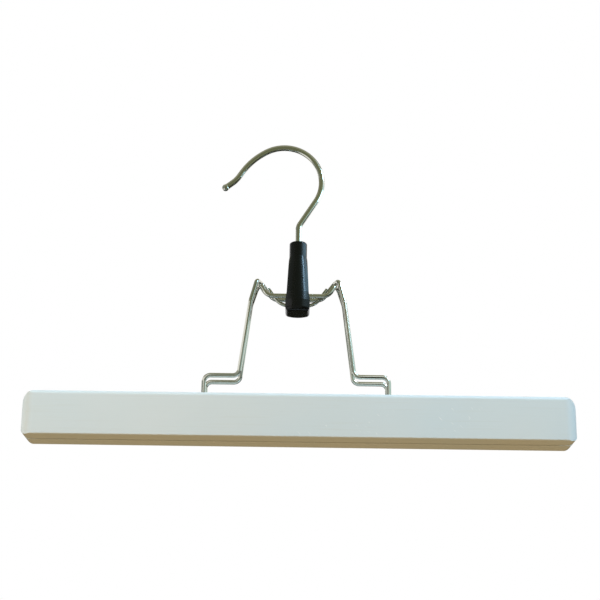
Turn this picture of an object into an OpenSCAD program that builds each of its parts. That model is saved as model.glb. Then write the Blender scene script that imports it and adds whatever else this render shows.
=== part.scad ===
// Clamp hanger for trousers: two felt-lined bars closed by crossed spring-wire bails,
// carried by a tapered sleeve and a swivel hook. Front is -Y, the bars run along X.

/* [Bars] */
// Length of each bar
bar_l = 353; // [250:1:450]
// Height of each bar
bar_h = 28.7; // [25:0.1:36]
// Thickness of each bar
bar_t = 14.4; // [11:0.1:18]
// Radius of the upper end corners, seen from the front
bar_top_r = 9.2; // [4:0.1:10]
// Radius of the lower end corners, seen from the front
bar_bottom_r = 4.2; // [1.5:0.1:5]
// Radius of the outer end corners, seen from above
bar_end_r = 7; // [3:0.5:9]
// Round-over along the outer upper edge
bar_edge_r = 2.4; // [1:0.1:4]
// Softened arris on the other long edges
bar_arris_r = 0.7; // [0.3:0.1:1.2]

/* [Felt] */
// Thickness of each felt strip
felt_t = 1.4; // [0.8:0.1:2.5]
// Height of each felt strip
felt_h = 23.5; // [16:0.5:25]
// How far the felt stops short of each end of the bar
felt_inset = 6; // [2:0.5:20]
// Corner radius of the felt strips
felt_r = 2; // [0.5:0.5:4]

/* [Bails] */
// Wire diameter of the bails
bail_d = 3; // [2:0.1:3.2]
// Distance between the two feet of a bail
foot_span = 118.8; // [100:0.1:160]
// Depth of the foot in the bar
foot_depth = 14; // [8:0.5:18]
// Height of the shoulders above the bars
shoulder_rise = 12.7; // [9:0.1:20]
// Distance between the legs of a bail at the shoulders
leg_span = 74.6; // [68:0.1:86]
// Height of the knees above the bars
knee_rise = 64.5; // [55:0.1:68]
// Distance between the knees of a bail
knee_span = 61.4; // [58:0.1:66]
// Distance of the knees from the middle plane
knee_y = 5.2; // [4.6:0.1:7]
// Height of the front bail's crests above the bars
crest_rise = 79.2; // [76.5:0.1:88]
// Distance between the outer corners of the crests
crest_span = 53.8; // [51:0.1:56]
// How far a crest steps inwards as it crosses over
crest_step = 2.6; // [1:0.1:4]
// Distance of the crest corners from the middle plane
crest_y = 3.5; // [3:0.1:4]
// Height of the dips above the bars
dip_rise = 68.3; // [66.5:0.1:69.2]
// Distance between the corners where the front bail's dip begins
front_dip_span = 32; // [30:0.1:38]
// Distance between the corners where the back bail's dip begins
back_dip_span = 40.2; // [36:0.1:44]
// Distance of the dips from the middle plane
dip_y = 4.5; // [4.3:0.1:4.8]
// Bend radius of the foot and shoulder corners
shoulder_r = 4.2; // [3:0.1:5]
// Bend radius of the knees
knee_r = 16; // [8:0.5:20]
// Bend radius of the crests
crest_r = 2.3; // [1.8:0.1:2.6]
// Bend radius where the dips begin
dip_r = 7; // [4:0.1:8]
// Angle by which each jaw opens
open_deg = 9; // [4:0.5:9]

/* [Bow spring] */
// Wire diameter of the bow
bow_d = 2.3; // [1.6:0.1:2.3]
// Distance between the corners of the bow
bow_span = 22.4; // [20:0.1:26]
// Distance between the two ends of the bow
bow_mouth = 38.8; // [34:0.1:40]
// Height of the bow's ends above its middle
bow_h = 11.6; // [8:0.1:13]
// Drop from the dips to the middle of the bow
bow_drop = 5.4; // [5.2:0.1:7]
// Bend radius of the bow
bow_r = 11; // [6:0.5:11.5]

/* [Sleeve] */
// Radius of the sleeve's collar
collar_r = 5.85; // [5.2:0.05:6.5]
// Height of the collar
collar_h = 10.4; // [6:0.1:14]
// Half the sleeve's width just above the dips, from flat to flat
waist_half = 7.25; // [7.1:0.05:7.8]
// Radius of the sleeve's front and back just above the dips
waist_r = 10.2; // [10:0.1:11.5]
// Half the width of the sleeve's foot
skirt_half = 8; // [7.9:0.1:8.8]
// Radius of the foot's front and back
skirt_r = 10.8; // [10.5:0.1:12]
// Rounding of the sleeve's lower edge
skirt_round = 3; // [1:0.1:3.5]
// Rounding of the collar's top edge
collar_round = 1.4; // [0.5:0.1:1.5]
// Height of the sleeve's taper above the dips
taper_h = 28; // [25:0.5:40]
// Length of the sleeve below the dips
skirt_h = 11.2; // [10:0.1:16]
// Height over which the foot widens, below the dips
flare_h = 2; // [1:0.1:3]
// Length of the collar's plug inside the sleeve
plug_l = 12; // [6:0.5:16]
// Distance by which the wire work stands off the bars' middle
hang_x = -2; // [-6:0.5:6]

/* [Hook] */
// Wire diameter of the hook
hook_d = 4; // [3:0.1:4.4]
// Bend radius of the hook's main bow
hook_r = 25.3; // [20:0.1:32]
// Angle through which the main bow turns
hook_turn = 150; // [120:1:160]
// Straight stem above the sleeve
stem_h = 9.4; // [6:0.1:20]
// Lean of the hook's neck
neck_lean = 32; // [20:1:40]
// Length of the leaning neck
neck_l = 19.3; // [12:0.1:26]
// Bend radius of the neck
neck_r = 8; // [5:0.5:12]
// Bend radius of the hook's open end
end_r = 45; // [30:1:60]
// Angle through which the open end turns
end_turn = 28.5; // [10:0.5:40]
// Straight length before the tip
tip_l = 4; // [2:0.5:12]
// Bend radius of the curled-up tip
curl_r = 20; // [10:1:30]
// Angle through which the tip curls back
curl_turn = 18.5; // [10:0.5:40]
// Straight end of the tip
tip_end_l = 6; // [3:0.5:10]
// Diameter of the rounded tip
tip_d = 4.8; // [4.5:0.1:6]
// Diameter of the upset head inside the sleeve
head_d = 6.8; // [6:0.1:7]
// Thickness of the head
head_t = 3.6; // [2:0.1:5]

/* [Fits] */
// Gap between the felt strips when the jaws are closed
felt_gap = 0.3; // [0.2:0.1:1]
// Air round a wire that moves beside another piece
wire_play = 0.3; // [0.25:0.05:0.4]
// Air between the two bails where they cross
cross_play = 0.6; // [0.4:0.05:0.8]
// Radial clearance of the hook's stem in the collar
stem_play = 0.08; // [0.04:0.01:0.1]
// Radial clearance of wires that are fixed in a hole
seat_play = 0.05; // [0.02:0.01:0.1]
// Air round the hook's head
head_play = 0.2; // [0.1:0.05:0.4]

/* [Hidden] */
$fn = 48;
eps = 0.01;
over = 1;

// Each seam between a straight and a bend is a short gap, closed by a bead a hair wider
// than the wire, turned so that its own seam line misses the wire's
seam = 0.05;
bead = 1.01;
bead_turn = 37;

// Bars and felt
bar_y = felt_gap / 2 + felt_t + bar_t / 2;
felt_z = (bar_h - felt_h) / 2;

// Heights of the bends
shoulder_z = bar_h + shoulder_rise;
knee_z = bar_h + knee_rise;
crest_hi = bar_h + crest_rise;
crest_lo = crest_hi - bail_d - cross_play;
dip_z = bar_h + dip_rise;

// Axis on which both jaws turn, and how far the dips travel when they open
pivot_z = (crest_hi + crest_lo) / 2;
dip_in = (pivot_z - dip_z) * sin(open_deg) - dip_y * (1 - cos(open_deg));
dip_drop = dip_y * sin(open_deg) - (pivot_z - dip_z) * (1 - cos(open_deg));

// Windows that the dips move in
window_y0 = dip_y - dip_in - bail_d / 2 - wire_play;
window_y1 = dip_y + bail_d / 2 + wire_play;
window_z0 = dip_z - bail_d / 2 - dip_drop - wire_play;
window_z1 = dip_z + bail_d / 2 + wire_play;
window_r = 1;

// Sleeve
bow_z = dip_z - bow_drop;
sleeve_z = dip_z - skirt_h;
waist_z = window_z1 + wire_play;
flare_z = dip_z - bail_d / 2 - flare_h;
seam_z = dip_z + taper_h;
top_z = seam_z + collar_h;

// The side flats run out into the cone just below the seam
flat_fade = 0.2;

// Chamber for the hook's head, closed by the collar's plug
plug_r = head_d / 2 + head_play;
plug_z = seam_z - plug_l;
head_z = plug_z - head_play - head_t;
chamber_z = head_z - head_play;

// Vector helpers
function unit(v) = v / norm(v);
function turn(a, b) = acos(max(-1, min(1, a * b)));

// Bend corner: how much straight it takes from each side
function trim(p, r, i) =
    (i == 0 || i == len(p) - 1) ? 0
    : r[i - 1] * tan(turn(unit(p[i] - p[i - 1]), unit(p[i + 1] - p[i])) / 2);

// Places its children at point p, with their Z axis along w
module along(p, w) {
    u = unit(cross(w, abs(w.z) < 0.9 ? [0, 0, 1] : [1, 0, 0]));
    v = cross(w, u);
    multmatrix([[u.x, v.x, w.x, p.x],
                [u.y, v.y, w.y, p.y],
                [u.z, v.z, w.z, p.z],
                [0, 0, 0, 1]])
        children();
}

// Bend of radius r through the angle q, in the XY plane round the origin
module round_bend(r, q, d) {
    rim = seam / r * 180 / PI;
    rotate([0, 0, rim])
        rotate_extrude(angle = q - 2 * rim)
            translate([r, 0])
                circle(d = d);
}

// Round bend of radius r at corner p, between directions a and b, with a bead at each end
module corner_bend(p, a, b, r, d) {
    q = turn(a, b);
    n = unit(cross(a, b));
    t = r * tan(q / 2);
    s = p - a * t;
    c = p + unit(b - a) * r / cos(q / 2);
    e = unit(s - c);
    multmatrix([[e.x, a.x, n.x, c.x],
                [e.y, a.y, n.y, c.y],
                [e.z, a.z, n.z, c.z],
                [0, 0, 0, 1]])
        round_bend(r, q, d);
    along(s, a)
        rotate([0, 0, bead_turn])
            sphere(d = d * bead);
    along(p + b * t, b)
        rotate([0, 0, bead_turn])
            sphere(d = d * bead);
}

// Wire bent along the corners p, with bend radii r at the inner corners
module bent_wire(p, r, d) {
    last = len(p) - 1;
    for (i = [0 : last - 1]) {
        a = unit(p[i + 1] - p[i]);
        from = i == 0 ? 0 : trim(p, r, i) + seam;
        to = i == last - 1 ? 0 : trim(p, r, i + 1) + seam;
        along(p[i] + a * from, a)
            cylinder(d = d, h = norm(p[i + 1] - p[i]) - from - to);
    }
    for (i = [1 : last - 1])
        corner_bend(p[i], unit(p[i] - p[i - 1]), unit(p[i + 1] - p[i]), r[i - 1], d);
}

// One side of a bail, s = -1 left or 1 right, from its foot to the start of its dip
function bail_side(s, crest, dip_span) = [
    [s * foot_span / 2, -bar_y, bar_h - foot_depth],
    [s * foot_span / 2, -bar_y, shoulder_z],
    [s * leg_span / 2, -bar_y, shoulder_z],
    [s * knee_span / 2, -knee_y, knee_z],
    [s * crest_span / 2, -crest_y, crest],
    [s * (crest_span / 2 - crest_step), crest_y, crest],
    [s * dip_span / 2, dip_y, dip_z]
];

function reversed(v) = [for (i = [len(v) - 1 : -1 : 0]) v[i]];

side_radii = [shoulder_r, shoulder_r, knee_r, crest_r, crest_r, dip_r];

// A bail as bent for the front jaw, with its crests at a height of their own
module bail(crest, dip_span) {
    bent_wire(concat(bail_side(-1, crest, dip_span), reversed(bail_side(1, crest, dip_span))),
              concat(side_radii, reversed(side_radii)), bail_d);
}

// The bow's corners
bow_corners = [
    [-bow_mouth / 2, 0, bow_z + bow_h],
    [-bow_span / 2, 0, bow_z],
    [bow_span / 2, 0, bow_z],
    [bow_mouth / 2, 0, bow_z + bow_h]
];

// Rectangle from corner lo to corner hi with a radius on its lower and upper corners
module soft_rectangle(lo, hi, r_lo, r_hi) {
    w = hi.x - lo.x;
    translate([lo.x + r_lo, lo.y])
        square([w - 2 * r_lo, r_lo + eps]);
    translate([lo.x, lo.y + r_lo])
        square([w, hi.y - lo.y - r_lo - r_hi]);
    translate([lo.x + r_hi, hi.y - r_hi - eps])
        square([w - 2 * r_hi, r_hi + eps]);
    for (x = [lo.x + r_lo, hi.x - r_lo])
        translate([x, lo.y + r_lo])
            circle(r_lo);
    for (x = [lo.x + r_hi, hi.x - r_hi])
        translate([x, hi.y - r_hi])
            circle(r_hi);
}

// A bar's cross-section: the outer upper corner is rounded over, the rest only eased
module bar_section() {
    y0 = -bar_t / 2;
    y1 = bar_t / 2;
    translate([y0 + bar_arris_r, 0])
        square([bar_t - 2 * bar_arris_r, bar_h / 2]);
    translate([y0, bar_arris_r])
        square([bar_t, bar_h - bar_arris_r - bar_edge_r]);
    translate([y0 + bar_edge_r, bar_h / 2])
        square([bar_t - bar_edge_r - bar_arris_r, bar_h / 2]);
    translate([0, bar_h / 2])
        square([y1, bar_h / 2 - bar_arris_r]);
    translate([y0 + bar_edge_r, bar_h - bar_edge_r])
        circle(bar_edge_r);
    translate([y1 - bar_arris_r, bar_h - bar_arris_r])
        circle(bar_arris_r);
    for (y = [y0 + bar_arris_r, y1 - bar_arris_r])
        translate([y, bar_arris_r])
            circle(bar_arris_r);
}

// The front bar, drilled for the feet of its bail
module bar() {
    difference() {
        translate([0, -bar_y, 0])
            intersection() {
                rotate([90, 0, 0])
                    linear_extrude(bar_t + 2 * over, center = true)
                        soft_rectangle([-bar_l / 2, 0], [bar_l / 2, bar_h], bar_bottom_r, bar_top_r);
                rotate([90, 0, 90])
                    linear_extrude(bar_l + 2 * over, center = true)
                        bar_section();
                translate([0, 0, -over])
                    linear_extrude(bar_h + 2 * over)
                        soft_rectangle([-bar_l / 2, -bar_t / 2], [bar_l / 2, bar_t / 2],
                                       bar_end_r, bar_arris_r);
            }
        for (s = [-1, 1])
            translate([hang_x + s * foot_span / 2, -bar_y, bar_h - foot_depth])
                cylinder(d = bail_d + 2 * seat_play, h = foot_depth + over);
    }
}

// The felt strip on the front bar
module felt() {
    translate([0, -felt_gap / 2, felt_z])
        rotate([90, 0, 0])
            linear_extrude(felt_t)
                soft_rectangle([-bar_l / 2 + felt_inset, 0], [bar_l / 2 - felt_inset, felt_h],
                               felt_r, felt_r);
}

// Turns a piece of the front jaw into the same piece of the back jaw
module back_side() {
    rotate([0, 0, 180])
        children();
}

module front_bar() {
    color("whitesmoke")
        bar();
}

module back_bar() {
    color("whitesmoke")
        mirror([0, 1, 0])
            bar();
}

module front_felt() {
    color("tan")
        felt();
}

module back_felt() {
    color("tan")
        mirror([0, 1, 0])
            felt();
}

module front_bail() {
    color("silver")
        translate([hang_x, 0, 0])
            bail(crest_hi, front_dip_span);
}

module back_bail() {
    color("silver")
        translate([hang_x, 0, 0])
            back_side()
                bail(crest_lo, back_dip_span);
}

module bow_spring() {
    color("silver")
        translate([hang_x, 0, 0])
            bent_wire(bow_corners, [bow_r, bow_r], bow_d);
}

// Window for one dip, as a slot along X on the +Y side
module dip_window() {
    rotate([90, 0, 90])
        linear_extrude(2 * (skirt_half + over), center = true)
            soft_rectangle([window_y0, window_z0], [window_y1, window_z1], window_r, window_r);
}

// Right-hand edge of the sleeve below its seam, by its reach at the foot, waist and seam
function sleeve_edge(foot, waist, top) = [
    [foot - skirt_round, sleeve_z],
    [foot - skirt_round, sleeve_z + skirt_round],
    [foot, sleeve_z + skirt_round],
    [foot, flare_z],
    [waist, waist_z],
    [top, seam_z]
];

// Round form of the sleeve below its seam
module sleeve_round() {
    rotate_extrude() {
        polygon(concat([[0, sleeve_z]], sleeve_edge(skirt_r, waist_r, collar_r), [[0, seam_z]]));
        translate([skirt_r - skirt_round, sleeve_z + skirt_round])
            circle(skirt_round);
    }
}

// Front view of the sleeve below its seam, which cuts the two side flats
module sleeve_front() {
    edge = sleeve_edge(skirt_half, waist_half, collar_r + flat_fade);
    polygon(concat(edge, [for (p = reversed(edge)) [-p.x, p.y]]));
    for (s = [-1, 1])
        translate([s * (skirt_half - skirt_round), sleeve_z + skirt_round])
            circle(skirt_round);
}

module sleeve_body() {
    color([0.06, 0.06, 0.07])
        translate([hang_x, 0, 0])
            difference() {
                intersection() {
                    sleeve_round();
                    rotate([90, 0, 0])
                        linear_extrude(2 * (skirt_r + over), center = true)
                            sleeve_front();
                }
                translate([0, 0, chamber_z])
                    cylinder(r = plug_r, h = seam_z - chamber_z + over);
                dip_window();
                back_side()
                    dip_window();
                bent_wire(bow_corners, [bow_r, bow_r], bow_d + 2 * seat_play);
            }
}

// Collar with the plug that keeps the hook's head in the sleeve
module sleeve_cap() {
    color([0.06, 0.06, 0.07])
        translate([hang_x, 0, 0])
            difference() {
                rotate_extrude() {
                    translate([0, plug_z])
                        square([plug_r - seat_play, seam_z - plug_z + eps]);
                    translate([0, seam_z])
                        square([collar_r, collar_h - collar_round]);
                    translate([0, seam_z])
                        square([collar_r - collar_round, collar_h]);
                    translate([collar_r - collar_round, top_z - collar_round])
                        circle(collar_round);
                }
                translate([0, 0, plug_z - over])
                    cylinder(d = hook_d + 2 * stem_play, h = top_z - plug_z + 2 * over);
            }
}

// Wire in the XZ plane as a bender would feed it: each step is a straight length, then a
// bend of a radius through an angle, clockwise positive
module fed_wire(steps, d, i = 0) {
    straight = steps[i][0];
    r = steps[i][1];
    a = steps[i][2];
    start = i == 0 ? 0 : seam;
    if (straight > 0)
        translate([0, 0, start])
            cylinder(d = d, h = straight - start - (a == 0 ? 0 : seam));
    if (straight > 0 && a != 0)
        translate([0, 0, straight])
            sphere(d = d * bead);
    if (a != 0)
        translate([0, 0, straight]) {
            side = a > 0 ? 1 : -1;
            translate([side * r, 0, 0])
                rotate([90, 0, 0])
                    rotate([0, 0, a > 0 ? 180 - a : 0])
                        round_bend(r, abs(a), d);
            translate([side * r * (1 - cos(a)), 0, r * sin(abs(a))]) {
                sphere(d = d * bead);
                rotate([0, a, 0])
                    fed_wire(steps, d, i + 1);
            }
        }
    if (a == 0)
        translate([0, 0, straight])
            sphere(d = tip_d);
}

module hook() {
    root_z = head_z + head_t / 2;
    color("silver")
        translate([hang_x, 0, 0]) {
            translate([0, 0, head_z])
                cylinder(d = head_d, h = head_t);
            translate([0, 0, root_z])
                fed_wire([
                    [top_z - root_z + stem_h, neck_r, neck_lean],
                    [neck_l, hook_r, -hook_turn],
                    [0, end_r, -end_turn],
                    [tip_l, curl_r, curl_turn],
                    [tip_end_l, 0, 0]
                ], hook_d);
        }
}

hook();
sleeve_cap();
sleeve_body();
bow_spring();
front_bail();
back_bail();
front_bar();
back_bar();
front_felt();
back_felt();
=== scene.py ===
# %% [markdown]
# # A clamp hanger for trousers
#
# Two white wooden bars, lined with felt, grip the trousers. Two bent spring wires press the
# bars together, a black moulded sleeve gathers the wires, and a plated hook swivels on top.
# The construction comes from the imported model. This script gives every piece its finish,
# models the felt, and sets up the camera, the floor and the light.

# %% Load the frame
import math

import bmesh
import bpy
from mathutils import Matrix, Vector, noise


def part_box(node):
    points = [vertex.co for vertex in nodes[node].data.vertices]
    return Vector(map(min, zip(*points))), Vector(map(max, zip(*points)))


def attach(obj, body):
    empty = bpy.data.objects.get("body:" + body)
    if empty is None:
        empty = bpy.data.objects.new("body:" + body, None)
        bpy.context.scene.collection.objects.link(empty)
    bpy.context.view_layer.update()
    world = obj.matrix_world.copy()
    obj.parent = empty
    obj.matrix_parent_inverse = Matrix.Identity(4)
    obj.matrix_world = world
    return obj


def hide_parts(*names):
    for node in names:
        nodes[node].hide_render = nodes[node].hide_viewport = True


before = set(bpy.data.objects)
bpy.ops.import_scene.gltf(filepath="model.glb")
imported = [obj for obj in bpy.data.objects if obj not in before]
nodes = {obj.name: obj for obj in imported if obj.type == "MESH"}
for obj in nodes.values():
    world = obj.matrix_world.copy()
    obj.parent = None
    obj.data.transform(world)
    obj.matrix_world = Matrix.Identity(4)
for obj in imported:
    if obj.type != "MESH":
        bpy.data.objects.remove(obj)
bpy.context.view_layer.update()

MM = 0.001

# %% [markdown]
# ## The camera
#
# The photograph looks up at the hanger from a little below, and leans by less than a degree.
# A camera could be aimed with a Track To constraint. Here its three directions are worked out
# from the two angles instead, so that each number keeps its plain meaning. A 90 mm lens on a
# 36 mm sensor flattens the perspective, as in the photograph.

# %% Place the camera
LOOK_UP = math.radians(17.7)
LEAN = math.radians(0.77)
CAMERA_DISTANCE = 989 * MM
# the point of the hanger in the middle of the picture
AIM = Vector((-0.4 * MM, 0, 95.7 * MM))
LENS = 90
SENSOR_WIDTH = 36

forward = Vector((0, math.cos(LOOK_UP), math.sin(LOOK_UP)))
level_up = Vector((0, -math.sin(LOOK_UP), math.cos(LOOK_UP)))
level_right = Vector((1, 0, 0))
right = level_right * math.cos(LEAN) + level_up * math.sin(LEAN)
up = level_up * math.cos(LEAN) - level_right * math.sin(LEAN)
eye = AIM - forward * CAMERA_DISTANCE

camera = bpy.data.objects.new("camera", bpy.data.cameras.new("camera"))
bpy.context.scene.collection.objects.link(camera)
camera.matrix_world = Matrix((
    (right.x, up.x, -forward.x, eye.x),
    (right.y, up.y, -forward.y, eye.y),
    (right.z, up.z, -forward.z, eye.z),
    (0, 0, 0, 1),
))
camera.data.lens = LENS
camera.data.sensor_width = SENSOR_WIDTH
bpy.context.scene.camera = camera
print("The eye is at", [round(v, 3) for v in eye])

# %% [markdown]
# ## Colours and nodes
#
# Colours are written as the hex values that a screen shows, and one function turns them into
# the linear values that Cycles works with. One more function adds a node with its settings
# and its links, so that each material reads as a list of steps.

# %% Helpers for materials
def linear(code):
    """Linear colour of an sRGB hex code such as "c0ffee", with an alpha of 1."""
    parts = [int(code[i:i + 2], 16) / 255 for i in (0, 2, 4)]
    return [p / 12.92 if p <= 0.04045 else ((p + 0.055) / 1.055) ** 2.4 for p in parts] + [1.0]


def add(tree, kind, settings=None, links=None):
    """Adds a node. Settings name attributes or input sockets, and links name input sockets."""
    node = tree.nodes.new(kind)
    for name, value in (settings or {}).items():
        if isinstance(name, str) and hasattr(node, name):
            setattr(node, name, value)
        else:
            node.inputs[name].default_value = value
    for name, source in (links or {}).items():
        tree.links.new(source, node.inputs[name])
    return node


def new_material(name):
    """A material with a bare Principled shader, as (material, tree, shader)."""
    material = bpy.data.materials.new(name)
    material.use_nodes = True
    tree = material.node_tree
    return material, tree, tree.nodes["Principled BSDF"]


def finish_pieces(names, material):
    """Gives the CAD pieces of these names one material in place of their plain one."""
    for name in names:
        nodes[name].data.materials.clear()
        nodes[name].data.materials.append(material)
    print(material.name, "is on", ", ".join(names))


print("White is", linear("ffffff"))

# %% [markdown]
# ## The stage
#
# The hanger hangs in the air in front of plain white. A floor far below and a curtain far
# behind could be lit until they clip, but that light would also fall on the hanger. So both
# get their white from Light Path: the camera, mirrors and glass see plain white at a strength
# of 1, and every other ray sees a pale matt surface that takes shadow and light as usual. The
# curtain is the world itself, so the floor is the only thing to build.

# %% White for the eye
def white_to_eye(tree, matter, end):
    """Shows white to the camera, to mirrors and to glass, and matter to every other ray."""
    kind = "ShaderNodeBackground" if end == "World Output" else "ShaderNodeEmission"
    white = add(tree, kind, {"Color": linear("ffffff"), "Strength": 1.0})
    path = add(tree, "ShaderNodeLightPath")
    mirror = add(tree, "ShaderNodeMath", {"operation": "MAXIMUM"},
                 {0: path.outputs["Is Glossy Ray"], 1: path.outputs["Is Transmission Ray"]})
    seen = add(tree, "ShaderNodeMath", {"operation": "MAXIMUM"},
               {0: path.outputs["Is Camera Ray"], 1: mirror.outputs[0]})
    mix = add(tree, "ShaderNodeMixShader", None,
              {0: seen.outputs[0], 1: matter.outputs[0], 2: white.outputs[0]})
    tree.links.new(mix.outputs[0], tree.nodes[end].inputs["Surface"])


print("White to the eye is ready for the floor and the world")

# %% Floor
# in metres, low enough for a camera to look up at the bars from below them
FLOOR_Z = -1.1
FLOOR_HALF = 6
FLOOR_TINT = "f6ce99"


def painted_floor():
    """The floor's matt paint, warm like boards, which the eye sees as white."""
    material, tree, shader = new_material("painted_floor")
    shader.inputs["Base Color"].default_value = linear(FLOOR_TINT)
    shader.inputs["Roughness"].default_value = 0.9
    white_to_eye(tree, shader, "Material Output")
    return material


def card(name, points, faces, material):
    """An object of flat faces, which belongs to the stage and not to the hanger."""
    mesh = bpy.data.meshes.new(name)
    mesh.from_pydata(points, [], faces)
    mesh.materials.append(material)
    sheet = bpy.data.objects.new(name, mesh)
    bpy.context.scene.collection.objects.link(sheet)
    return sheet


card("floor", [(x * FLOOR_HALF, y * FLOOR_HALF, FLOOR_Z)
               for x, y in ((-1, -1), (1, -1), (1, 1), (-1, 1))],
     [(0, 1, 2, 3)], painted_floor())
print("The floor lies", -FLOOR_Z, "m below the bars")

# %% [markdown]
# ## The light
#
# In the photograph the light is soft: cool from above and from the right, like a window,
# neutral from the left, and warm from below, where it comes back from the floor. A sun lamp
# would give hard shadows, so there are four wide area lamps. The window lamp is the main one.
# The room lamp fills the front, and two weaker ones lift the left ends and the back. The
# floor's own tint warms the underside, and the world adds a grey sky over a darker, warmer
# ground. Only the window shows in the plating, as the other lamps would draw white squares
# on it.

# %% World
# colours by height, where 0 is straight down, 0.5 the horizon and 1 straight up
SKY = ((0.30, "58543f"), (0.55, "9ba09c"), (0.85, "dcdcd8"))
SKY_STRENGTH = 0.75

world = bpy.data.worlds.new("studio")
bpy.context.scene.world = world
world.use_nodes = True
tree = world.node_tree
coordinates = add(tree, "ShaderNodeTexCoord")
axes = add(tree, "ShaderNodeSeparateXYZ", None, {0: coordinates.outputs["Generated"]})
height = add(tree, "ShaderNodeMapRange", {"From Min": -1.0}, {"Value": axes.outputs["Z"]})
sky = add(tree, "ShaderNodeValToRGB", None, {0: height.outputs[0]})
stops = sky.color_ramp.elements
for place, tint in SKY:
    stops.new(place).color = linear(tint)
stops.remove(stops[-1])
stops.remove(stops[0])
ambient = add(tree, "ShaderNodeBackground", {"Strength": SKY_STRENGTH}, {"Color": sky.outputs[0]})
white_to_eye(tree, ambient, "World Output")
print("Stops of the sky:", [round(stop.position, 2) for stop in stops])

# %% Lamps
def toward(azimuth, elevation, distance):
    """A place round the hanger: azimuth 0 is the viewer's side and 90 the viewer's right."""
    a, e = math.radians(azimuth), math.radians(elevation)
    direction = Vector((math.sin(a) * math.cos(e), -math.cos(a) * math.cos(e), math.sin(e)))
    return AIM + direction * distance


def area_lamp(name, place, size, watts, tint, in_mirrors):
    """A lamp aimed at the hanger, of a size in metres, which mirrors show or leave out."""
    lamp = bpy.data.lights.new(name, "AREA")
    lamp.shape = "RECTANGLE"
    lamp.size, lamp.size_y = size
    lamp.energy = watts
    lamp.color = linear(tint)[:3]
    holder = bpy.data.objects.new(name, lamp)
    bpy.context.scene.collection.objects.link(holder)
    holder.location = place
    holder.rotation_euler = (AIM - place).to_track_quat("-Z", "Y").to_euler()
    holder.visible_glossy = in_mirrors
    return holder


lamps = (
    area_lamp("window_light", toward(60, 39, 1.0), (0.35, 0.3), 8.3, "aedcfd", True),
    area_lamp("room_light", toward(-40, 24, 0.85), (0.6, 0.5), 3.7, "fcf8f2", False),
    area_lamp("side_light", toward(-100, 15, 0.9), (0.5, 0.5), 1.8, "d5e8ff", False),
    area_lamp("back_light", toward(170, 20, 1.2), (0.8, 0.6), 2.5, "f4faff", False),
)
print("Lamps:", [lamp.name for lamp in lamps])

# %% [markdown]
# ## Flags for the plated wire
#
# A mirror-like wire shows its surroundings, and in a white studio it would turn white. A
# photographer sets up grey and black cards, called flags, outside the picture. Here the far
# ones are patches of a ball round the hanger. Behind the hanger, at its own height, the ball
# is open, so that the white background shows in the wire's edges. The near ones are flat
# cards in front, one above the other, and two beside the sleeve: a grey one on the left and a
# bright pane on the right, which draws the cool streak down the plastic. Only mirrored rays
# meet the flags, so they throw no shadow and take no light from the wood.

# %% The flags' cards
RAYS_LET_THROUGH = ("camera", "diffuse", "transmission", "volume_scatter", "shadow")
BALL_RADIUS = 420 * MM
BALL_STEP = 15


def flag(name, points, faces, tint, strength=1.0):
    """A card of one even tint that only mirrored rays can see."""
    material, tree, shader = new_material(name + "_card")
    shader.inputs["Base Color"].default_value = linear("000000")
    shader.inputs["Specular IOR Level"].default_value = 0.0
    shader.inputs["Emission Color"].default_value = linear(tint)
    shader.inputs["Emission Strength"].default_value = strength
    sheet = card(name, points, faces, material)
    for ray in RAYS_LET_THROUGH:
        setattr(sheet, "visible_" + ray, False)
    return sheet


def ball_flag(name, azimuths, elevations, tint):
    """A flag bent to a patch of the ball, between two azimuths and two heights in degrees."""
    start, low = azimuths[0], elevations[0]
    turn, climb = azimuths[1] - start, elevations[1] - low
    columns = max(2, round(turn / BALL_STEP))
    rows = max(2, round(climb / BALL_STEP))
    points = [toward(start + turn * i / columns, low + climb * j / rows, BALL_RADIUS)
              for j in range(rows + 1) for i in range(columns + 1)]
    first = [j * (columns + 1) + i for j in range(rows) for i in range(columns)]
    faces = [(a, a + 1, a + columns + 2, a + columns + 1) for a in first]
    return flag(name, points, faces, tint)


flags = [
    ball_flag("left_flag", (-125, -48), (-3, 10), "76817d"),
    ball_flag("right_flag", (10, 62), (-3, 24), "c3dcd8"),
    ball_flag("window_flag", (62, 112), (-3, 28), "c9e6ea"),
    ball_flag("upper_flag", (-180, 180), (46, 90), "9b9c88"),
    ball_flag("upper_left_flag", (-180, -40), (27, 46), "8b8c76"),
    ball_flag("low_flag", (-45, 245), (-45, -3), "35362c"),
    ball_flag("floor_flag", (-180, 180), (-90, -45), "35362c"),
]
print("Far flags:", [sheet.name for sheet in flags])

# %% Near flags
# all in mm, measured from the middle of the bars' foot
VIEWER_Y = -75
BESIDE = 100
# heights of the cards in front of the hanger, where one ends and the next one starts
CARDS_FOOT = -40
LEGS_TOP = 92
CRESTS_TOP = 112
SLEEVE_TOP = 140
CARDS_TOP = 280
# the upper two of them stand side by side and meet here
HOOK_SPLIT = 8


def viewer_flag(name, corners, tint):
    """A card in front of the hanger, from the x and z of its corners."""
    points = [Vector((x, VIEWER_Y, z)) * MM for x, z in corners]
    return flag(name, points, [range(len(points))], tint)


def side_flag(name, x, ys, zs, tint, strength=1.0):
    """An upright card beside the hanger, from its x and its two spans."""
    corners = ((ys[0], zs[0]), (ys[1], zs[0]), (ys[1], zs[1]), (ys[0], zs[1]))
    points = [Vector((x, y, z)) * MM for y, z in corners]
    return flag(name, points, [range(len(points))], tint, strength)


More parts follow.
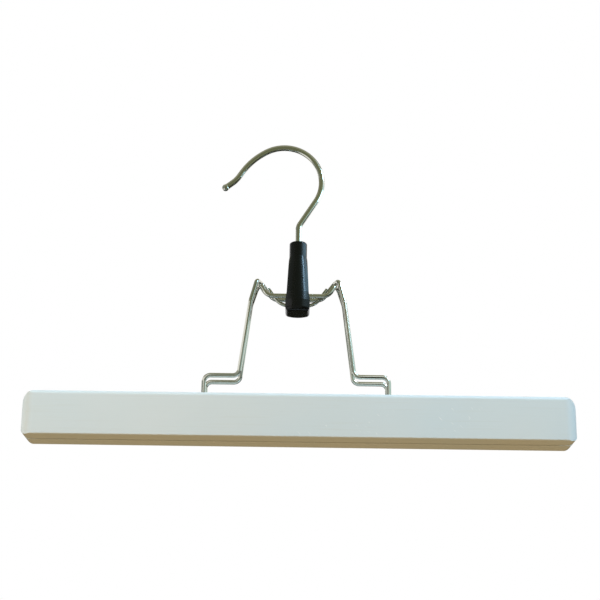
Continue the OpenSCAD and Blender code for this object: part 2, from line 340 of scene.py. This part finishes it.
flags += [
    viewer_flag("viewer_flag_low", ((-82, CARDS_FOOT), (42, CARDS_FOOT), (42, LEGS_TOP),
                                    (-65, LEGS_TOP)), "8d948b"),
    viewer_flag("viewer_flag_middle", ((-65, LEGS_TOP), (42, LEGS_TOP), (42, CRESTS_TOP),
                                       (62, SLEEVE_TOP), (-58, SLEEVE_TOP)), "73765c"),
    viewer_flag("viewer_flag_left", ((-90, SLEEVE_TOP), (HOOK_SPLIT, SLEEVE_TOP),
                                     (HOOK_SPLIT, CARDS_TOP), (-90, CARDS_TOP)), "70745a"),
    viewer_flag("viewer_flag_right", ((HOOK_SPLIT, SLEEVE_TOP), (62, SLEEVE_TOP),
                                      (160, CARDS_TOP), (HOOK_SPLIT, CARDS_TOP)), "82886a"),
    side_flag("collar_flag", -BESIDE, (-120, 40), (150, 215), "8a9189"),
    side_flag("pane_flag", BESIDE, (-60, 40), (150, 186), "b4e2fc", strength=5.0),
]
print("All flags:", len(flags))

# %% [markdown]
# ## Plated spring wire
#
# The hook, the two bails and the bow are hard-drawn steel wire with a bright nickel plating.
# Barrel plating leaves a soft orange peel, so the reflections are sharp but never quite
# straight. The peel could be modelled, but it is only a ripple in what the wire mirrors, so a
# bump draws it. Nickel is a warm, slightly yellow metal. A metal keeps the default IOR, and
# its colour is set in Base Color.

# %% Nickel-plated steel wire
NICKEL = "d9d8cc"
# from hump to hump of the orange peel that barrel plating leaves
PEEL = 2 * MM
# handling marks, real ones are finer than 0.1 mm and are drawn coarser to show
MARKS = 0.6 * MM


def nickel_plated_wire():
    material, tree, shader = new_material("nickel_plated_wire")
    shader.inputs["Base Color"].default_value = linear(NICKEL)
    shader.inputs["Metallic"].default_value = 1.0
    place = add(tree, "ShaderNodeTexCoord")
    peel = add(tree, "ShaderNodeTexNoise", {"Scale": 1 / PEEL, "Detail": 2.0},
               {"Vector": place.outputs["Object"]})
    marks = add(tree, "ShaderNodeTexNoise", {"Scale": 1 / MARKS, "Detail": 4.0},
                {"Vector": place.outputs["Object"]})
    rough = add(tree, "ShaderNodeMapRange", {"From Min": 0.35, "From Max": 0.75,
                                             "To Min": 0.12, "To Max": 0.20},
                {"Value": marks.outputs["Fac"]})
    tree.links.new(rough.outputs[0], shader.inputs["Roughness"])
    bump = add(tree, "ShaderNodeBump", {"Strength": 0.3, "Distance": 0.02 * MM},
               {"Height": peel.outputs["Fac"]})
    tree.links.new(bump.outputs[0], shader.inputs["Normal"])
    return material


finish_pieces(("hook", "bow_spring", "front_bail", "back_bail"), nickel_plated_wire())

# %% [markdown]
# ## Black moulded sleeve
#
# The sleeve is injection moulded, most likely of polypropylene or ABS, in glossy black. The
# mould's polish gives sharp highlights, and the cooling plastic sinks a little, which bends
# them. The sleeve of the photograph has picked up fine scuffs. They could be a mask with a
# second, duller shader, but a roughness that changes from place to place does the same.

# %% Glossy black ABS
SLEEVE_BLACK = "0d0f0e"
# a wave of the wall, where it sank as it cooled
SINK = 6 * MM
# fine scuffs, drawn coarser than real so that they show
SCUFFS = 0.5 * MM


def moulded_abs():
    material, tree, shader = new_material("moulded_black_abs")
    shader.inputs["Base Color"].default_value = linear(SLEEVE_BLACK)
    shader.inputs["IOR"].default_value = 1.53
    shader.inputs["Specular IOR Level"].default_value = 0.25
    place = add(tree, "ShaderNodeTexCoord")
    sink = add(tree, "ShaderNodeTexNoise", {"Scale": 1 / SINK, "Detail": 1.0},
               {"Vector": place.outputs["Object"]})
    scuffs = add(tree, "ShaderNodeTexNoise", {"Scale": 1 / SCUFFS, "Detail": 3.0},
                 {"Vector": place.outputs["Object"]})
    rough = add(tree, "ShaderNodeMapRange", {"From Min": 0.3, "From Max": 0.8,
                                             "To Min": 0.16, "To Max": 0.34},
                {"Value": scuffs.outputs["Fac"]})
    tree.links.new(rough.outputs[0], shader.inputs["Roughness"])
    bump = add(tree, "ShaderNodeBump", {"Strength": 0.25, "Distance": 0.2 * MM},
               {"Height": sink.outputs["Fac"]})
    tree.links.new(bump.outputs[0], shader.inputs["Normal"])
    return material


finish_pieces(("sleeve_body", "sleeve_cap"), moulded_abs())

# %% [markdown]
# ## White lacquered wood
#
# The bars are straight-grained wood, planed, sanded and sprayed white. The lacquer fills most
# of the grain, so only faint lengthwise streaks are left. A wood grain could come from the
# Wave texture. A noise that is stretched along X gives calmer streaks, as under paint. A
# second, very large noise lets the thickness of the coat wander, which shifts the white a
# little between neutral and cool.

# %% Grain and coat
LACQUER = "e0e5e2"
LACQUER_COOL = "d6e3e6"
BARE_STREAK = "cfd2c6"
# straight grain: the gap between growth rings, and the length over which a ring stays even
RING_GAP = 1.6 * MM
RING_LENGTH = 40 * RING_GAP
# the length over which the coat gets thicker and thinner
COAT_DRIFT = 60 * MM


def painted_grain(tree, place):
    """The growth rings that show through the paint, as a value from 0 to 1."""
    stretched = add(tree, "ShaderNodeMapping",
                    {"Scale": (1 / RING_LENGTH, 1 / RING_GAP, 1 / RING_GAP)}, {"Vector": place})
    rings = add(tree, "ShaderNodeTexNoise", {"Scale": 1.0, "Detail": 4.0, "Roughness": 0.6},
                {"Vector": stretched.outputs[0]})
    return rings.outputs["Fac"]


def coat_colour(tree, place, grain):
    """White that drifts between two tints, with a thin streak where a ring stands out."""
    drift = add(tree, "ShaderNodeTexNoise", {"Scale": 1 / COAT_DRIFT, "Detail": 1.0},
                {"Vector": place})
    coat = add(tree, "ShaderNodeMix", {"data_type": "RGBA", 6: linear(LACQUER),
                                       7: linear(LACQUER_COOL)},
               {0: drift.outputs["Fac"]})
    streak = add(tree, "ShaderNodeMapRange", {"From Min": 0.55, "From Max": 0.85,
                                              "To Min": 0.0, "To Max": 0.35},
                 {"Value": grain})
    colour = add(tree, "ShaderNodeMix", {"data_type": "RGBA", 7: linear(BARE_STREAK)},
                 {0: streak.outputs[0], 6: coat.outputs[2]})
    return colour.outputs[2]


print("A ring under the paint is", round(RING_LENGTH / MM), "mm long")

# %% [markdown]
# ## Dust and scratches in the lacquer
#
# Dust settles in a coat while it dries and stays as small bumps. Hooks and shelves leave short
# slanting scratches, a few side by side. Both show as pale marks. They could be painted into
# an image, but a pattern needs no image: a Voronoi cell that wins a throw of dice gets one
# speck, and a stretched noise cut off near its peaks leaves short lines.

# %% Specks and scratches
# cells with a speck in about one of five, drawn coarser than real dust so that it shows: its
# radius and its soft edge are shares of the cell
DUST_CELL = 9 * MM
DUST_SHARE = 0.2
DUST_RADIUS = 0.03
DUST_EDGE = 0.08
# scratches in patches, drawn wider than real so that they show
SCRATCH_LENGTH = 4 * MM
SCRATCH_WIDTH = 0.5 * MM
SCRATCH_LEAN = math.radians(48)
SCRATCH_PATCH = 35 * MM


def dust_specks(tree, place):
    """Small round specks, as a value from 0 to 1."""
    cells = add(tree, "ShaderNodeTexVoronoi", {"Scale": 1 / DUST_CELL}, {"Vector": place})
    dice = add(tree, "ShaderNodeSeparateColor", None, {0: cells.outputs["Color"]})
    chosen = add(tree, "ShaderNodeMath", {"operation": "GREATER_THAN", 1: 1 - DUST_SHARE},
                 {0: dice.outputs[0]})
    grit = add(tree, "ShaderNodeMapRange", {"From Min": DUST_RADIUS, "From Max": DUST_EDGE,
                                            "To Min": 1.0, "To Max": 0.0},
               {"Value": cells.outputs["Distance"]})
    specks = add(tree, "ShaderNodeMath", {"operation": "MULTIPLY"},
                 {0: grit.outputs[0], 1: chosen.outputs[0]})
    return specks.outputs[0]


def scratches(tree, place):
    """Short slanting scratches in a patch here and there, as a value from 0 to 1."""
    slant = add(tree, "ShaderNodeMapping",
                {"vector_type": "TEXTURE", "Rotation": (0, SCRATCH_LEAN, 0),
                 "Scale": (SCRATCH_LENGTH, SCRATCH_LENGTH, SCRATCH_WIDTH)},
                {"Vector": place})
    lines = add(tree, "ShaderNodeTexNoise", {"Scale": 1.0, "Detail": 0.0},
                {"Vector": slant.outputs[0]})
    line = add(tree, "ShaderNodeMapRange", {"From Min": 0.74, "From Max": 0.80},
               {"Value": lines.outputs["Fac"]})
    patches = add(tree, "ShaderNodeTexNoise", {"Scale": 1 / SCRATCH_PATCH, "Detail": 0.0},
                  {"Vector": place})
    worn = add(tree, "ShaderNodeMapRange", {"From Min": 0.66, "From Max": 0.72},
               {"Value": patches.outputs["Fac"]})
    scratch = add(tree, "ShaderNodeMath", {"operation": "MULTIPLY"},
                  {0: worn.outputs[0], 1: line.outputs[0]})
    return scratch.outputs[0]


print("Specks lie about", round(DUST_CELL / MM / math.sqrt(DUST_SHARE)), "mm apart")

# %% White lacquer over straight grain
DUST = "f4f8f6"
# how far a speck stands out of the coat, beside the relief of the grain
SPECK_RELIEF = 3.0


def lacquered_wood():
    material, tree, shader = new_material("white_lacquered_wood")
    place = add(tree, "ShaderNodeTexCoord").outputs["Object"]
    grain = painted_grain(tree, place)
    specks = dust_specks(tree, place)
    pale = add(tree, "ShaderNodeMath", {"operation": "MAXIMUM"},
               {0: specks, 1: scratches(tree, place)})
    colour = add(tree, "ShaderNodeMix", {"data_type": "RGBA", 7: linear(DUST)},
                 {0: pale.outputs[0], 6: coat_colour(tree, place, grain)})
    tree.links.new(colour.outputs[2], shader.inputs["Base Color"])
    rough = add(tree, "ShaderNodeMapRange", {"To Min": 0.32, "To Max": 0.46}, {"Value": grain})
    tree.links.new(rough.outputs[0], shader.inputs["Roughness"])
    relief = add(tree, "ShaderNodeMath", {"operation": "MULTIPLY_ADD", 1: SPECK_RELIEF},
                 {0: specks, 2: grain})
    bump = add(tree, "ShaderNodeBump", {"Strength": 0.3, "Distance": 0.1 * MM},
               {"Height": relief.outputs[0]})
    tree.links.new(bump.outputs[0], shader.inputs["Normal"])
    return material


finish_pieces(("front_bar", "back_bar"), lacquered_wood())

# %% [markdown]
# ## Felt linings
#
# Each bar is lined with a strip of pressed wool felt, about 1.4 mm thick, glued to its inner
# face so that the cloth doesn't slip. Felt is a mat of fibres with no weave: its face is
# fuzzy, its cut edges are soft and a little uneven. The fuzz is Sheen over a noise of fibres.

# %% Pressed wool felt
FELT = "8f7c58"
FELT_DARK = "6d5c3e"
# matted fibres, real ones are 0.03 mm thick and are drawn coarser to show
FIBRES = 0.4 * MM


def pressed_felt():
    material, tree, shader = new_material("pressed_wool_felt")
    shader.inputs["Roughness"].default_value = 0.95
    shader.inputs["Sheen Weight"].default_value = 0.35
    shader.inputs["Sheen Roughness"].default_value = 0.5
    place = add(tree, "ShaderNodeTexCoord")
    fibres = add(tree, "ShaderNodeTexNoise", {"Scale": 1 / FIBRES, "Detail": 5.0,
                                              "Distortion": 1.5},
                 {"Vector": place.outputs["Object"]})
    colour = add(tree, "ShaderNodeMix", {"data_type": "RGBA", 6: linear(FELT_DARK),
                                         7: linear(FELT)},
                 {0: fibres.outputs["Fac"]})
    tree.links.new(colour.outputs[2], shader.inputs["Base Color"])
    bump = add(tree, "ShaderNodeBump", {"Strength": 0.6, "Distance": 0.2 * MM},
               {"Height": fibres.outputs["Fac"]})
    tree.links.new(bump.outputs[0], shader.inputs["Normal"])
    return material


felt_finish = pressed_felt()
print("Felt nodes:", len(felt_finish.node_tree.nodes))

# %% [markdown]
# ## The shape of a felt strip
#
# A plain box would have ruled edges. The strip is a bmesh of four layers from the glued back
# to the face: the last two step inwards, so that the cut edge is rounded. A small smooth noise
# pushes the edges and the face about, always inwards, so the strip never leaves the room that
# it has between the bars.

# %% One layer of a strip
FELT_STEP = 2 * MM
FELT_EASE = 0.35 * MM
FELT_WANDER = 0.12 * MM
FELT_NOISE = 3 * MM
# for each layer: share of the thickness, inset from the edge, and whether it is uneven in depth
FELT_LAYERS = ((0.0, 0.0, False), (0.5, 0.0, False), (1.0, FELT_EASE, True),
               (1.0, 3 * FELT_EASE, True))
# noise_vector starts from the clock unless it is given a seed, and the felt has to come out
# the same each time
FELT_SEED = 7
noise.seed_set(FELT_SEED)


def felt_layer(strip, lo, hi, columns, rows, side, level):
    """A layer's vertices, row by row. The inner layers have None away from their edge."""
    share, inset, uneven = FELT_LAYERS[level]
    closed = level in (0, len(FELT_LAYERS) - 1)
    back, face = (lo.y, hi.y) if side > 0 else (hi.y, lo.y)
    y = back + (face - back) * share
    layer = []
    for j in range(rows + 1):
        for i in range(columns + 1):
            x = lo.x + inset + (hi.x - lo.x - 2 * inset) * i / columns
            z = lo.z + inset + (hi.z - lo.z - 2 * inset) * j / rows
            wander = noise.noise_vector(Vector((x, y, z)) / FELT_NOISE) * FELT_WANDER
            at_end = i in (0, columns)
            inward = -math.copysign(abs(wander.x), x) if at_end else 0
            lift = abs(wander.z) if j == 0 else -abs(wander.z) if j == rows else 0
            dip = -abs(wander.y) * side if uneven else 0
            layer.append(strip.verts.new((x + inward, y + dip, z + lift))
                         if closed or at_end or j in (0, rows) else None)
    return layer


def felt_rim(columns, rows):
    """The numbers of a layer's edge vertices, once round."""
    width = columns + 1
    return (list(range(width))
            + [j * width + columns for j in range(1, rows + 1)]
            + [rows * width + i for i in range(columns - 1, -1, -1)]
            + [j * width for j in range(rows - 1, 0, -1)])


print("A strip has", len(FELT_LAYERS), "layers")

# %% A whole strip
def felt_strip(node, side):
    """A strip in the box of a CAD node. Its back lies on the bar, and side is the way it faces."""
    lo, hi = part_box(node)
    columns = round((hi.x - lo.x) / FELT_STEP)
    rows = round((hi.z - lo.z) / FELT_STEP)
    strip = bmesh.new()
    layers = [felt_layer(strip, lo, hi, columns, rows, side, level)
              for level in range(len(FELT_LAYERS))]

    # the cut edge, from layer to layer
    rim = felt_rim(columns, rows)
    for low, high in zip(layers, layers[1:]):
        for a, b in zip(rim, rim[1:] + rim[:1]):
            strip.faces.new((low[a], low[b], high[b], high[a]))
    # the glued back and the face
    width = columns + 1
    for layer in (layers[0], layers[-1]):
        for a in (j * width + i for j in range(rows) for i in range(columns)):
            strip.faces.new((layer[a], layer[a + 1], layer[a + width + 1], layer[a + width]))
    bmesh.ops.recalc_face_normals(strip, faces=strip.faces)

    mesh = bpy.data.meshes.new(node + "_strip")
    strip.to_mesh(mesh)
    strip.free()
    for polygon in mesh.polygons:
        polygon.use_smooth = True
    mesh.materials.append(felt_finish)
    piece = bpy.data.objects.new(node + "_strip", mesh)
    bpy.context.scene.collection.objects.link(piece)
    return piece


print("Squares of", round(FELT_STEP / MM), "mm make up each strip")

# %% Glue the two strips on
for node, body, side in (("front_felt", "front_jaw", 1), ("back_felt", "back_jaw", -1)):
    strip = felt_strip(node, side)
    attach(strip, body)
    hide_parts(node)
    print(strip.name, "has", len(strip.data.polygons), "faces")

# %% [markdown]
# ## View settings
#
# Standard shows a colour about as it is written, with no film curve. Another view would need
# every colour above to be chosen again.

# %% Finish
bpy.context.scene.view_settings.view_transform = "Standard"
